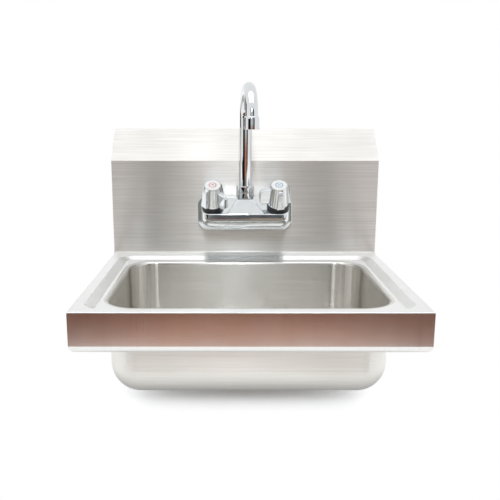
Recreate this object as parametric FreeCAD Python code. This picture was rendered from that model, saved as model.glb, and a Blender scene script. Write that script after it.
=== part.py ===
import FreeCAD, Part
import math
import os

from FreeCAD import Placement, Rotation, Vector

# Wall-mounted hand sink with a splash-mounted mixing tap, in millimetres.
# X runs to the right, Y runs back into the wall and Z runs up.
# The origin is the middle of the wall bracket's back face, on the wall.
# Heights named from the rim are measured up from the sink's raised rim.
# Reaches are measured forward from the splash's front face.

# Sink top: pressed sheet with a raised rim and three aprons
sink_width = 432.0
sink_depth = 381.0
sheet = 1.2
apron_height = 52.0
apron_roll_radius = 9.5
apron_return = 22.0
top_edge_radius = 2.0
rim_width = 13.5
rim_rear_width = 20.0
rim_corner_radius = 24.0
rim_drop = 6.0
rim_slope = 13.0
rim_rear_slope = 8.0
rim_crest_radius = 2.0
rim_foot_radius = 4.0

# Bowl: drawn sheet, welded into the top
bowl_side_margin = 36.5
bowl_front_margin = 40.0
bowl_rear_margin = 39.0
bowl_depth = 121.0
bowl_corner_radius = 40.0
bowl_draft = 2.0
bowl_floor_corner_radius = 1.0
bowl_lip_radius = 5.0
bowl_flange = 7.0

# Splash: folded panel with two end plates
splash_standoff = 48.0
splash_face_height = 152.0
splash_height = 202.0
splash_hook = 30.0
splash_cove = 4.0

# Wall bracket: a strip whose lip holds the splash's rear hook
bracket_length = 300.0
bracket_height = 40.0
bracket_sheet = 2.0
bracket_lip = 20.0
hook_clearance = 0.3
bracket_hole_margin = 23.0
bracket_hole_radius = 3.5

# Rear rail: an angle between the side aprons, screwed to the wall
rail_height = 30.0
rail_foot = 14.0
rail_sheet = 2.0
rail_below_rim = 9.0
rail_hole_margin = 51.0
rail_hole_radius = 3.5

# Drain
drain_recess_radius = 41.0
drain_recess_depth = 2.5
drain_hole_clearance = 1.4
drain_flange_radius = 38.0
drain_flange_thickness = 2.2
drain_thread_radius = 24.15
drain_thread_relief = 0.25
drain_bore_radius = 20.5
drain_free_thread = 13.0
drain_ledge_width = 2.5
drain_ledge_height = 3.0
drain_gasket_thickness = 2.5
drain_gasket_radius = 34.0
drain_washer_thickness = 1.2
drain_washer_radius = 33.0
drain_nut_height = 8.0
drain_nut_flats = 62.0
drain_nut_clearance = 0.1

# Strainer basket
basket_rim_radius = 26.0
basket_rim_thickness = 1.0
basket_wall = 1.0
basket_depth = 13.0
basket_clearance = 0.4
basket_hole_radius = 2.0
basket_ring_radii_share = (0.38, 0.76)
basket_ring_counts = (6, 12)
basket_post_radius = 2.5
basket_post_height = 22.0
basket_knob_radius = 5.0

# Tap body
tap_height = 68.0
inlet_spacing = 101.6
tap_gasket_thickness = 1.5
tap_gasket_inset = 1.0
flange_length = 154.0
flange_height = 57.0
flange_thickness = 4.0
flange_corner_radius = 16.0
body_length = 137.0
body_reach = 64.0
body_drop = 16.0
body_rise = 28.0
body_corner_radius = 15.0
body_roll_radius = 12.0
boss_reach = 53.0
boss_crest_length = 23.6
boss_foot_length = 59.0
body_wall = 4.5
waterway_radius = 4.0
inlet_bore_radius = 6.0

# Inlet shanks, their washers and nuts
shank_thread_radius = 10.48
shank_thread_relief = 0.28
shank_bore_radius = 6.5
shank_socket_depth = 9.0
shank_free_thread = 22.0
shank_hole_clearance = 1.2
shank_washer_radius = 16.0
shank_washer_thickness = 1.5
shank_nut_flats = 28.0
shank_nut_height = 8.0
thread_clearance = 0.1

# Valves, measured along each tilted valve axis from the body's deck
valve_tilt = 32.0
valve_reach = 46.5
valve_rise = 17.3
chamber_radius = 11.0
chamber_depth = 26.0
seat_seal_thickness = 1.0
seat_seal_wall = 4.0
cartridge_clearance = 0.2
cartridge_wall = 2.6
cartridge_floor = 3.0
cartridge_port_radius = 4.5
bonnet_flats = 22.0
bonnet_height = 7.0
bonnet_roof = 4.0
disc_thickness = 3.0
disc_clearance = 0.2
disc_port_radius = 2.4
disc_port_offset = 4.2
disc_running_gap = 0.05
stem_radius = 4.0
stem_running_gap = 0.05
stem_flange_radius = 7.4
stem_flange_height = 5.0
collar_radius = 17.2
collar_height = 6.0
collar_wall = 3.2

# Handles: a bell with three short ribs and one long wing
handle_height = 41.0
handle_gap = 0.4
handle_foot_radius = 16.6
handle_foot_height = 3.0
handle_neck_radius = 13.0
handle_wall = 2.4
handle_web = 4.0
hub_radius = 7.0
hub_depth = 16.0
socket_clearance = 0.1
rib_reach_foot = 20.4
rib_reach_shoulder = 17.2
rib_reach_crest = 13.6
rib_width_foot = 12.4
rib_width_shoulder = 7.0
rib_width_crest = 6.4
rib_foot_rise = 1.8
rib_shoulder_drop = 6.6
rib_crest_drop = 3.4
rib_spacing = 90.0
wing_reach = 29.5
wing_tip_lift = 4.0
wing_tip_round = 3.5
wing_width_foot = 9.5
wing_width_crest = 6.8
wing_foot_rise = 2.6
wing_crest_drop = 7.0
hot_wing_angle = -45.0
cold_wing_angle = 188.0
index_radius = 12.2
index_thickness = 1.4
index_recess = 1.2
index_clearance = 0.2
screw_radius = 1.5
screw_head_radius = 2.2
screw_grip = 8.0
screw_clearance = 0.15

# Spout
spout_reach = 38.0
spout_rest_swing = 4.0
spout_radius = 9.2
spout_wall = 1.2
spout_bend_radius = 44.5
spout_bend_height = 218.5
spout_leg = 7.0
spout_bore_depth = 24.0
spout_bore_floor_gap = 4.0
ferrule_wall = 2.0
ferrule_clearance = 0.08
ferrule_length = 24.0
seat_thread_wall = 1.5
seat_thread_height = 8.0
seal_ring_section = 1.2
seal_groove_width = 1.5
seal_ring_spacing = 7.0
seal_ring_first = 4.0
slip_ring_thickness = 1.0
slip_ring_clearance = 0.3
spout_nut_radius = 13.9
spout_nut_height = 19.5
spout_nut_groove = 0.7
spout_nut_groove_width = 1.0
spout_nut_groove_height_share = 0.5
spout_nut_edge = 0.8
spout_nut_gap = 0.3

# Aerator
aerator_radius = 11.0
aerator_length = 18.5
aerator_edge = 1.2
aerator_mouth_radius = 8.4
aerator_tube_clearance = 0.45
aerator_washer_thickness = 2.0
aerator_washer_wall = 3.0
aerator_screen_thickness = 1.6
aerator_screen_inset = 3.0
aerator_mesh_radius = 0.9
aerator_mesh_pitch = 3.2

# Working values: one overrun for every cut and one tolerance for finding edges
overrun = 10.0
touch = 0.01

# Places worked out from the sizes above
hook_foot_z = bracket_height / 2 + bracket_sheet
rim_z = hook_foot_z - (splash_height - splash_hook)
deck_z = rim_z - rim_drop
apron_foot_z = rim_z - apron_height
half_width = sink_width / 2
inner_half_width = half_width - sheet
rim_front_y = rim_width - sink_depth
rim_back_y = -splash_standoff - rim_rear_width
rail_top_z = rim_z - rail_below_rim
rail_mid_z = rail_top_z - rail_height / 2
bowl_length = sink_width - 2 * bowl_side_margin
bowl_front_y = bowl_front_margin - sink_depth
bowl_back_y = -splash_standoff - bowl_rear_margin
bowl_width = bowl_back_y - bowl_front_y
bowl_mid_y = (bowl_front_y + bowl_back_y) / 2
bowl_floor_radius = bowl_corner_radius - bowl_draft - bowl_floor_corner_radius
floor_z = deck_z - bowl_depth
drain_seat_z = floor_z - drain_recess_depth
drain_under_z = drain_seat_z - sheet
drain_hole_radius = drain_thread_radius + drain_hole_clearance
drain_neck_radius = drain_thread_radius - drain_thread_relief
drain_nut_z = drain_under_z - drain_gasket_thickness - drain_washer_thickness
drain_thread_z = drain_nut_z - drain_nut_height
drain_end_z = drain_thread_z - drain_free_thread
tap_z = rim_z + tap_height
inlet_x = inlet_spacing / 2
tap_back_y = -splash_standoff - tap_gasket_thickness
body_front_y = -splash_standoff - body_reach
body_foot_z = tap_z - body_drop
body_top_z = tap_z + body_rise
shank_neck_radius = shank_thread_radius - shank_thread_relief
shank_nut_place = shank_washer_thickness + shank_nut_height
splash_back_y = -splash_standoff + sheet
valve_y = -splash_standoff - valve_reach
valve_z = tap_z + valve_rise
tilt_slope = math.tan(math.radians(valve_tilt))
deck_front_z = valve_z - (body_reach - valve_reach) * tilt_slope
deck_back_y = valve_y + (body_top_z - valve_z) / tilt_slope
cartridge_radius = chamber_radius - cartridge_clearance
cartridge_foot = seat_seal_thickness - chamber_depth
cavity_radius = cartridge_radius - cartridge_wall
disc_radius = cavity_radius - disc_clearance
fixed_disc_foot = cartridge_foot + cartridge_floor
moving_disc_foot = fixed_disc_foot + disc_thickness + disc_running_gap
stem_foot = moving_disc_foot + disc_thickness
handle_foot = collar_height + handle_gap
index_seat = handle_height - index_recess
stem_top = index_seat - handle_web
spout_y = -splash_standoff - spout_reach
spout_bore_foot_z = body_top_z - spout_bore_depth
spout_foot_z = spout_bore_foot_z + spout_bore_floor_gap
ferrule_radius = spout_radius + ferrule_wall
spout_bore_radius = ferrule_radius + ferrule_clearance
seat_thread_radius = spout_bore_radius + seat_thread_wall
seat_top_z = body_top_z + seat_thread_height
ferrule_top_z = spout_foot_z + ferrule_length
seal_ring_heights = [spout_foot_z + seal_ring_first + step * seal_ring_spacing for step in (0, 1)]
slip_ring_foot_z = max(ferrule_top_z, seat_top_z) + slip_ring_clearance
spout_nut_foot_z = body_top_z + spout_nut_gap
bend_z = rim_z + spout_bend_height
outlet_z = bend_z - spout_leg
outlet_y = spout_y - 2 * spout_bend_radius
aerator_washer_z = outlet_z - aerator_washer_thickness
aerator_screen_z = aerator_washer_z - aerator_screen_thickness
aerator_foot_z = aerator_screen_z - aerator_screen_inset

HOT = -1
COLD = 1
wing_angle = {HOT: hot_wing_angle, COLD: cold_wing_angle}


def box(x0, x1, y0, y1, z0, z1):
    """A block between three pairs of limits."""
    return Part.makeBox(x1 - x0, y1 - y0, z1 - z0, Vector(x0, y0, z0))


def rod(radius, start, end):
    """A round bar from one point to another."""
    line = end - start
    return Part.makeCylinder(radius, line.Length, start, line)


def polygon(points):
    """A flat face with straight sides."""
    return Part.Face(Part.makePolygon(points + [points[0]]))


def turned(profile):
    """A solid of revolution about Z from (radius, height) points."""
    face = polygon([Vector(radius, 0, height) for radius, height in profile])
    return face.revolve(Vector(), Vector(0, 0, 1), 360)


def ring(inner, outer, low, high):
    """A plain washer about Z between two heights."""
    return turned([(inner, low), (outer, low), (outer, high), (inner, high)])


def hexagon(flats, low, high):
    """A hexagonal bar about Z between two heights."""
    corner = flats / math.sqrt(3)
    angles = [math.radians(60 * step) for step in range(6)]
    points = [Vector(corner * math.cos(a), corner * math.sin(a), low) for a in angles]
    return polygon(points).extrude(Vector(0, 0, high - low))


def rounded_outline(half_length, front, back, corner, height):
    """A level rectangle with round corners, as a closed wire."""
    middle = (front + back) / 2
    reach_x = half_length - corner
    reach_y = (back - front) / 2 - corner
    edges = []
    ends = []
    for quarter, (sign_x, sign_y) in enumerate([(1, 1), (-1, 1), (-1, -1), (1, -1)]):
        centre = Vector(sign_x * reach_x, middle + sign_y * reach_y, height)
        turns = [math.radians(90 * quarter + step) for step in (0, 45, 90)]
        points = [centre + Vector(corner * math.cos(t), corner * math.sin(t), 0) for t in turns]
        if ends:
            edges.append(Part.makeLine(ends[-1], points[0]))
        edges.append(Part.Arc(*points).toShape())
        ends += [points[0], points[-1]]
    edges.append(Part.makeLine(ends[-1], ends[0]))
    return Part.Wire(edges)


def rounded_slab(half_length, front, back, corner, low, high):
    """A plate with round corners between two heights."""
    wire = rounded_outline(half_length, front, back, corner, low)
    return Part.Face(wire).extrude(Vector(0, 0, high - low))


def stood_up(shape):
    """Turn a shape modelled flat so that its Y becomes Z and its Z becomes forward."""
    shape.rotate(Vector(), Vector(1, 0, 0), 90)
    return shape


def moved(shape, x, y, z):
    """Shift a shape."""
    shape.translate(Vector(x, y, z))
    return shape


def level_edges(shape, height, front=-math.inf, back=math.inf):
    """Edges lying at one height, wholly between two Y limits."""
    found = []
    for edge in shape.Edges:
        bounds = edge.BoundBox
        level = abs(bounds.ZMin - height) < touch and abs(bounds.ZMax - height) < touch
        if level and bounds.YMin > front - touch and bounds.YMax < back + touch:
            found.append(edge)
    return found


def edges_at_y(shape, place):
    """Edges lying in one upright plane across the sink."""
    return [
        edge for edge in shape.Edges
        if abs(edge.BoundBox.YMin - place) < touch and abs(edge.BoundBox.YMax - place) < touch
    ]


def rolled_box(inset, back_y):
    """The sink top's envelope with its lower front and side edges rolled, inset by a wall."""
    side = half_width - inset
    front = inset - sink_depth
    foot = apron_foot_z + inset
    block = box(-side, side, front, back_y, foot, rim_z - inset)
    edges = []
    for edge in level_edges(block, foot):
        if edge.BoundBox.YMin < back_y - touch:
            edges.append(edge)
    return block.makeFillet(apron_roll_radius - inset, edges)


def rim_pocket(sink_by):
    """The sunken area inside the raised rim, lowered by a given wall."""
    side = half_width - rim_width
    crest = rounded_outline(side, rim_front_y, rim_back_y, rim_corner_radius, rim_z - sink_by)
    foot = rounded_outline(
        side - rim_slope, rim_front_y + rim_slope, rim_back_y - rim_rear_slope,
        rim_corner_radius - rim_slope, deck_z - sink_by,
    )
    return Part.makeLoft([crest, foot], True, True)


def bowl_seam(low, high):
    """The plate inside the weld seam between the top and the bowl."""
    return rounded_slab(
        bowl_length / 2 + bowl_flange, bowl_front_y - bowl_flange, bowl_back_y + bowl_flange,
        bowl_corner_radius + bowl_flange, low, high,
    )


def sink_top():
    """Raised rim, sunken deck and three aprons with a rolled lower edge."""
    outer = rolled_box(0, 0)
    shoulder = box(
        -half_width, half_width, -sink_depth, -splash_standoff, apron_foot_z, rim_z,
    )
    edges = []
    for edge in level_edges(shoulder, rim_z):
        if edge.BoundBox.YMin < -splash_standoff - touch:
            edges.append(edge)
    shoulder = shoulder.makeFillet(top_edge_radius, edges)
    rear = box(-half_width, half_width, -splash_standoff, 0, apron_foot_z, rim_z)
    outer = outer.common(shoulder.fuse(rear).removeSplitter())
    hollow = rolled_box(sheet, overrun).cut(rim_pocket(sheet))
    top = outer.cut(hollow).cut(rim_pocket(0))
    top = top.makeFillet(rim_crest_radius, level_edges(top, rim_z, rim_front_y, rim_back_y))
    top = top.makeFillet(rim_foot_radius, level_edges(top, deck_z))
    top = top.cut(bowl_seam(deck_z - sheet - overrun, rim_z + overrun))
    under = half_width - apron_return
    top = top.cut(box(
        -under, under, apron_return - sink_depth, overrun,
        apron_foot_z - overrun, apron_foot_z + sheet,
    ))
    return top.cut(box(
        -inner_half_width, inner_half_width, splash_back_y, overrun, deck_z - sheet, rim_z + overrun,
    ))


def bowl_arcs():
    """The bowl section's lip and floor arcs, each a centre with its radius, inward from the mouth line.

    Also gives the wall's lean, as an angle from upright.
    """
    lean = math.atan2(bowl_draft, bowl_depth)
    setback = math.tan((math.pi / 2 - lean) / 2)
    lip = (-bowl_lip_radius * setback, deck_z - bowl_lip_radius)
    cove = (bowl_draft + bowl_floor_radius * setback, floor_z + bowl_floor_radius)
    return lip, cove, lean


def bowl_skin(wall, place):
    """Points along one face of the drawn sheet: flange end, lip arc and floor arc."""
    lip, cove, lean = bowl_arcs()
    upright = math.pi / 2
    points = [place(-bowl_flange, deck_z - wall)]
    for (inward, height), radius, first, last in (
        (lip, bowl_lip_radius - wall, upright, lean),
        (cove, bowl_floor_radius + wall, math.pi + lean, math.pi + upright),
    ):
        for turn in (first, (first + last) / 2, last):
            points.append(place(inward + radius * math.cos(turn), height + radius * math.sin(turn)))
    return points


def bowl_section(place):
    """The drawn sheet's section from weld flange to floor, placed by a function of inward and height."""
    inside = bowl_skin(0, place)
    outside = bowl_skin(sheet, place)
    edges = [Part.makeLine(inside[0], outside[0]), Part.makeLine(inside[-1], outside[-1])]
    for end, *lip_and_cove in (inside, outside):
        lip = lip_and_cove[:3]
        cove = lip_and_cove[3:]
        edges += [Part.makeLine(end, lip[0]), Part.makeLine(lip[-1], cove[0])]
        edges += [Part.Arc(*lip).toShape(), Part.Arc(*cove).toShape()]
    return Part.Face(Part.Wire(Part.__sortEdges__(edges)))


def drain_disc(radius, low, high):
    """A round plug on the drain's axis."""
    return rod(radius, Vector(0, bowl_mid_y, low), Vector(0, bowl_mid_y, high))


def sink_bowl():
    """Drawn bowl with a rolled lip, a weld flange and a recess for the drain."""
    reach_x = bowl_length / 2 - bowl_corner_radius
    reach_y = bowl_width / 2 - bowl_corner_radius
    corners = [(reach_x, -reach_y), (reach_x, reach_y), (-reach_x, reach_y), (-reach_x, -reach_y)]
    outward = [Vector(0, -1, 0), Vector(1, 0, 0), Vector(0, 1, 0), Vector(-1, 0, 0)]
    walls = []
    for number, (x, y) in enumerate(corners):
        centre = Vector(x, bowl_mid_y + y, 0)
        away = outward[number]
        along = outward[number - 1]

        def place(inward, height):
            return centre + away * (bowl_corner_radius - inward) + Vector(0, 0, height)

        section = bowl_section(place)
        run = 2 * (reach_y if away.x else reach_x)
        walls.append(section.extrude(along * run))
        walls.append(section.revolve(centre, Vector(0, 0, 1), 90))
    inset = bowl_arcs()[1][0]
    plate = rounded_slab(
        bowl_length / 2 - inset, bowl_front_y + inset, bowl_back_y - inset,
        bowl_corner_radius - inset, floor_z - sheet, floor_z,
    )
    recess_wall = drain_disc(drain_recess_radius + sheet, drain_under_z, floor_z)
    bowl = walls[0].fuse(walls[1:] + [plate, recess_wall]).removeSplitter()
    bowl = bowl.cut(drain_disc(drain_recess_radius, drain_seat_z, floor_z + touch))
    return bowl.cut(drain_disc(drain_hole_radius, drain_under_z - overrun, floor_z))


def splash_section(wall):
    """The splash's side outline, drawn in by a wall, as Y and Z points from the rim up."""
    rise = splash_height - splash_face_height
    slope = math.atan2(rise, splash_standoff)
    front = wall - splash_standoff
    drop = wall / math.cos(slope)
    fold_z = rim_z + splash_face_height - drop + wall * math.tan(slope)
    crest_z = rim_z + splash_height - drop - wall * math.tan(slope)
    return [(front, rim_z), (front, fold_z), (-wall, crest_z), (-wall, rim_z)]


def across(section, x0, x1):
    """A bar across the sink with a given Y and Z outline."""
    return polygon([Vector(x0, y, z) for y, z in section]).extrude(Vector(x1 - x0, 0, 0))


def splash_panel():
    """Front face, sloped top and rear hook, coved at its foot and holed for the tap."""
    panel = across(splash_section(0), -inner_half_width, inner_half_width)
    panel = panel.cut(across(splash_section(sheet), -inner_half_width, inner_half_width))
    panel = panel.cut(box(
        -half_width, half_width, -sheet - touch, overrun, rim_z - overrun, hook_foot_z,
    ))
    face_y = -splash_standoff
    cove = box(
        -inner_half_width, inner_half_width, face_y - splash_cove, face_y, rim_z, rim_z + splash_cove,
    )
    axis_start = Vector(-half_width, face_y - splash_cove, rim_z + splash_cove)
    cove = cove.cut(rod(splash_cove, axis_start, axis_start + Vector(sink_width, 0, 0)))
    panel = panel.fuse(cove).removeSplitter()
    for side in (HOT, COLD):
        start = Vector(side * inlet_x, face_y - overrun, tap_z)
        reach = Vector(0, 2 * overrun, 0)
        panel = panel.cut(rod(shank_neck_radius + shank_hole_clearance, start, start + reach))
    return panel


def splash_end(side):
    """A plate that closes one end of the splash."""
    near, far = sorted([side * inner_half_width, side * half_width])
    return across(splash_section(0), near, far)


def wall_holes(shape, place, radius, height):
    """Two screw holes through to the wall, one at each side."""
    for side in (HOT, COLD):
        start = Vector(side * place, -overrun, height)
        shape = shape.cut(rod(radius, start, start + Vector(0, 2 * overrun, 0)))
    return shape


def wall_bracket():
    """Strip on the wall with a stepped lip in front of the splash's hook."""
    side = bracket_length / 2
    lip_back = -sheet - hook_clearance
    lip_front = lip_back - bracket_sheet
    plate = box(-side, side, -bracket_sheet, 0, -bracket_height / 2, hook_foot_z)
    step = box(-side, side, lip_front, 0, bracket_height / 2, hook_foot_z)
    lip = box(-side, side, lip_front, lip_back, bracket_height / 2, hook_foot_z + bracket_lip)
    bracket = plate.fuse([step, lip]).removeSplitter()
    return wall_holes(bracket, side - bracket_hole_margin, bracket_hole_radius, 0)


def rear_rail():
    """Angle that ties the side aprons together and takes the lower wall screws."""
    foot_z = rail_top_z - rail_height
    upright = box(-inner_half_width, inner_half_width, -rail_sheet, 0, foot_z, rail_top_z)
    foot = box(
        -inner_half_width, inner_half_width, -rail_foot, 0, foot_z, foot_z + rail_sheet,
    )
    rail = upright.fuse(foot).removeSplitter()
    return wall_holes(rail, half_width - rail_hole_margin, rail_hole_radius, rail_mid_z)


def at_drain(shape):
    """Carry a shape turned about Z to the drain's axis."""
    return moved(shape, 0, bowl_mid_y, 0)


def drain_flange():
    """Flange in the bowl with a threaded tail and a ledge for the basket."""
    top = drain_seat_z + drain_flange_thickness
    ledge_z = top - basket_depth - basket_wall
    ledge_radius = drain_bore_radius - drain_ledge_width
    return at_drain(turned([
        (drain_bore_radius, top), (drain_flange_radius, top),
        (drain_flange_radius, drain_seat_z), (drain_neck_radius, drain_seat_z),
        (drain_neck_radius, drain_thread_z), (drain_thread_radius, drain_thread_z),
        (drain_thread_radius, drain_end_z), (drain_bore_radius, drain_end_z),
        (drain_bore_radius, ledge_z - drain_ledge_height), (ledge_radius, ledge_z - drain_ledge_height),
        (ledge_radius, ledge_z), (drain_bore_radius, ledge_z),
    ]))


def drain_gasket():
    """Rubber ring under the bowl."""
    low = drain_under_z - drain_gasket_thickness
    return at_drain(ring(drain_hole_radius, drain_gasket_radius, low, drain_under_z))


def drain_washer():
    """Fibre slip ring under the rubber ring."""
    high = drain_nut_z + drain_washer_thickness
    return at_drain(ring(drain_hole_radius, drain_washer_radius, drain_nut_z, high))


def drain_locknut():
    """Large nut on the drain's tail."""
    nut = hexagon(drain_nut_flats, drain_thread_z, drain_nut_z)
    bore = drain_neck_radius + drain_nut_clearance
    hole = ring(0, bore, drain_thread_z - overrun, drain_nut_z + overrun)
    return at_drain(nut.cut(hole))


def strainer_basket():
    """Lift-out cup with a perforated floor and a post with a knob."""
    top = drain_seat_z + drain_flange_thickness
    foot = top - basket_depth
    outer = drain_bore_radius - basket_clearance
    cup = turned([
        (0, foot), (0, foot - basket_wall), (outer, foot - basket_wall), (outer, top),
        (basket_rim_radius, top), (basket_rim_radius, top + basket_rim_thickness),
        (outer - basket_wall, top + basket_rim_thickness), (outer - basket_wall, foot),
    ])
    holes = []
    for share, count in zip(basket_ring_radii_share, basket_ring_counts):
        for step in range(count):
            turn = 2 * math.pi * step / count
            place = share * outer
            start = Vector(place * math.cos(turn), place * math.sin(turn), foot - overrun)
            holes.append(rod(basket_hole_radius, start, start + Vector(0, 0, 2 * overrun)))
    cup = cup.cut(holes)
    post = ring(0, basket_post_radius, foot - basket_wall, foot + basket_post_height)
    knob = Part.makeSphere(basket_knob_radius, Vector(0, 0, foot + basket_post_height))
    return at_drain(cup.fuse([post, knob]).removeSplitter())


def tap_plate(inset, thickness, back_y):
    """A plate with the tap flange's outline, standing off a given plane."""
    half = flange_length / 2 - inset
    rise = flange_height / 2 - inset
    plate = rounded_slab(half, -rise, rise, flange_corner_radius - inset, 0, thickness)
    return moved(stood_up(plate), 0, back_y, tap_z)


def tap_gasket():
    """Sheet rubber between the tap's flange and the splash."""
    gasket = tap_plate(tap_gasket_inset, tap_gasket_thickness, -splash_standoff)
    for side in (HOT, COLD):
        start = Vector(side * inlet_x, tap_back_y - overrun, tap_z)
        reach = Vector(0, 2 * overrun, 0)
        gasket = gasket.cut(rod(shank_neck_radius + shank_hole_clearance, start, start + reach))
    return gasket


def valve_placement(side):
    """Carries a shape modelled about Z onto one tilted valve axis."""
    seat = Vector(side * inlet_x, valve_y, valve_z)
    return Placement(seat, Rotation(Vector(1, 0, 0), valve_tilt))


def on_valve(shape, side, turn=0):
    """Place a shape on one valve axis, turned about that axis."""
    shape.Placement = valve_placement(side) * Placement(Vector(), Rotation(Vector(0, 0, 1), turn))
    return shape


def tap_castings():
    """The tap body's outside: rolled block, tilted decks, central boss and flange."""
    half = body_length / 2
    length = tap_back_y - body_front_y
    crown = body_top_z + body_corner_radius + body_roll_radius + overrun
    front = rounded_slab(half, body_foot_z, crown, body_corner_radius, 0, length)
    block = moved(stood_up(front), 0, tap_back_y, 0)
    block = block.makeFillet(body_roll_radius, edges_at_y(block, body_front_y))
    base = [(tap_back_y, body_foot_z), (body_front_y, body_foot_z), (body_front_y, deck_front_z)]
    decks = across(base + [(deck_back_y, body_top_z), (tap_back_y, body_top_z)], -half, half)
    facet_y = -splash_standoff - boss_reach
    boss = across(base + [(facet_y, body_top_z), (tap_back_y, body_top_z)], -half, half)
    crest = boss_crest_length / 2
    foot = boss_foot_length / 2
    sides = [
        (-foot, body_foot_z), (foot, body_foot_z), (foot, deck_front_z),
        (crest, body_top_z), (-crest, body_top_z), (-foot, deck_front_z),
    ]
    gable = polygon([Vector(x, body_front_y, z) for x, z in sides]).extrude(Vector(0, length, 0))
    body = block.common(decks.fuse(boss.common(gable)).removeSplitter())
    seat = rod(
        seat_thread_radius,
        Vector(0, spout_y, spout_bore_foot_z), Vector(0, spout_y, seat_top_z),
    )
    return body.fuse([tap_plate(0, flange_thickness, tap_back_y), seat]).removeSplitter()


def tap_core(waterway_ends):
    """The casting's hollow back between the valves, clear of the spout bore and the waterway."""
    half = inlet_x - chamber_radius - body_wall
    foot = body_foot_z + body_wall
    top = body_top_z - body_wall
    front = body_front_y + body_wall
    lean = math.radians(valve_tilt)
    drop = body_wall / math.cos(lean)
    front_top = deck_front_z + body_wall * tilt_slope - drop
    top_front = body_front_y + (top - deck_front_z + drop) / tilt_slope
    section = [
        (tap_back_y, foot), (front, foot), (front, front_top), (top_front, top), (tap_back_y, top),
    ]
    column = rod(
        spout_bore_radius + body_wall,
        Vector(0, spout_y, body_foot_z), Vector(0, spout_y, body_top_z),
    )
    return across(section, -half, half).cut([column, rod(waterway_radius + body_wall, *waterway_ends)])


def tap_body():
    """Cast mixing body with its waterways and a hollow back."""
    body = tap_castings()
    waterway_z = spout_bore_foot_z + waterway_radius / 2
    ends = [Vector(side * inlet_x, spout_y, waterway_z) for side in (HOT, COLD)]
    cuts = [tap_core(ends), rod(waterway_radius, *ends)]
    for side in (HOT, COLD):
        inlet = Vector(side * inlet_x, tap_back_y, tap_z)
        chamber = Vector(side * inlet_x, valve_y, tap_z)
        cuts.append(rod(inlet_bore_radius, inlet, chamber))
        socket = Vector(0, -shank_socket_depth, 0)
        cuts.append(rod(shank_neck_radius + thread_clearance, inlet, inlet + socket))
        cuts.append(on_valve(ring(0, chamber_radius, -chamber_depth, overrun), side))
    cuts.append(rod(
        spout_bore_radius,
        Vector(0, spout_y, spout_bore_foot_z), Vector(0, spout_y, seat_top_z + overrun),
    ))
    return body.cut(cuts)


def at_inlet(shape, side):
    """Carry a shape modelled forward along Z to one inlet, measured from the splash's back."""
    return moved(stood_up(shape), side * inlet_x, splash_back_y, tap_z)


def inlet_shank(side):
    """Threaded tube from the tap body through the splash."""
    front = sheet + tap_gasket_thickness + shank_socket_depth
    step = -shank_nut_place
    back = step - shank_free_thread
    return at_inlet(turned([
        (shank_bore_radius, front), (shank_neck_radius, front), (shank_neck_radius, step),
        (shank_thread_radius, step), (shank_thread_radius, back), (shank_bore_radius, back),
    ]), side)


def shank_washers():
    """Two flat washers behind the splash."""
    bore = shank_neck_radius + thread_clearance
    return Part.makeCompound([
        at_inlet(ring(bore, shank_washer_radius, -shank_washer_thickness, 0), side)
        for side in (HOT, COLD)
    ])


def shank_locknuts():
    """Two hexagon nuts that clamp the tap to the splash."""
    nuts = []
    for side in (HOT, COLD):
        nut = hexagon(shank_nut_flats, -shank_nut_place, -shank_washer_thickness)
        bore = shank_neck_radius + thread_clearance
        hole = ring(0, bore, -shank_nut_place - overrun, overrun)
        nuts.append(at_inlet(nut.cut(hole), side))
    return Part.makeCompound(nuts)


def seat_seal(side):
    """Rubber ring on the chamber's floor."""
    inner = cartridge_radius - seat_seal_wall
    return on_valve(ring(inner, cartridge_radius, -chamber_depth, cartridge_foot), side)


def cartridge(side):
    """Brass valve housing with a hexagon bonnet and side ports."""
    barrel = ring(0, cartridge_radius, cartridge_foot, 0)
    bonnet = hexagon(bonnet_flats, 0, bonnet_height)
    housing = barrel.fuse(bonnet).removeSplitter()
    cavity = ring(0, cavity_radius, fixed_disc_foot, bonnet_height - bonnet_roof)
    port = ring(0, cartridge_port_radius, cartridge_foot - overrun, fixed_disc_foot)
    gland = ring(0, stem_radius + stem_running_gap, 0, bonnet_height + overrun)
    middle = stem_foot + stem_flange_height + waterway_radius
    reach = Vector(cartridge_radius + overrun, 0, 0)
    window = rod(waterway_radius, Vector(0, 0, middle) - reach, Vector(0, 0, middle) + reach)
    return on_valve(housing.cut([cavity, port, gland, window]), side)


def ported_disc(foot):
    """A ceramic disc with two ports."""
    disc = ring(0, disc_radius, foot, foot + disc_thickness)
    for sign in (HOT, COLD):
        start = Vector(sign * disc_port_offset, 0, foot - overrun)
        disc = disc.cut(rod(disc_port_radius, start, start + Vector(0, 0, 2 * overrun)))
    return disc


def fixed_disc(side):
    """Ceramic disc held in the housing."""
    return on_valve(ported_disc(fixed_disc_foot), side)


def moving_disc(side):
    """Ceramic disc turned by the stem, a quarter turn from the fixed one."""
    return on_valve(ported_disc(moving_disc_foot), side, rib_spacing)


def valve_stem(side):
    """Turning stem with a driving flange and a tapped end."""
    stem = turned([
        (0, stem_foot), (stem_flange_radius, stem_foot),
        (stem_flange_radius, stem_foot + stem_flange_height),
        (stem_radius, stem_foot + stem_flange_height), (stem_radius, stem_top), (0, stem_top),
    ])
    hole = ring(0, screw_radius, stem_top - screw_grip, stem_top + overrun)
    return on_valve(stem.cut(hole), side)


def collar(side):
    """Black ring on the deck under the handle."""
    return on_valve(ring(collar_radius - collar_wall, collar_radius, 0, collar_height), side)


def fin(levels):
    """An upright fin along X, lofted through (height, reach, width) levels."""
    wires = []
    for height, reach, width in levels:
        inner = handle_neck_radius - handle_wall
        corners = [
            Vector(inner, -width / 2, height), Vector(reach, -width / 2, height),
            Vector(reach, width / 2, height), Vector(inner, width / 2, height),
        ]
        wires.append(Part.makePolygon(corners + [corners[0]]))
    return Part.makeLoft(wires, True, True)


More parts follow.
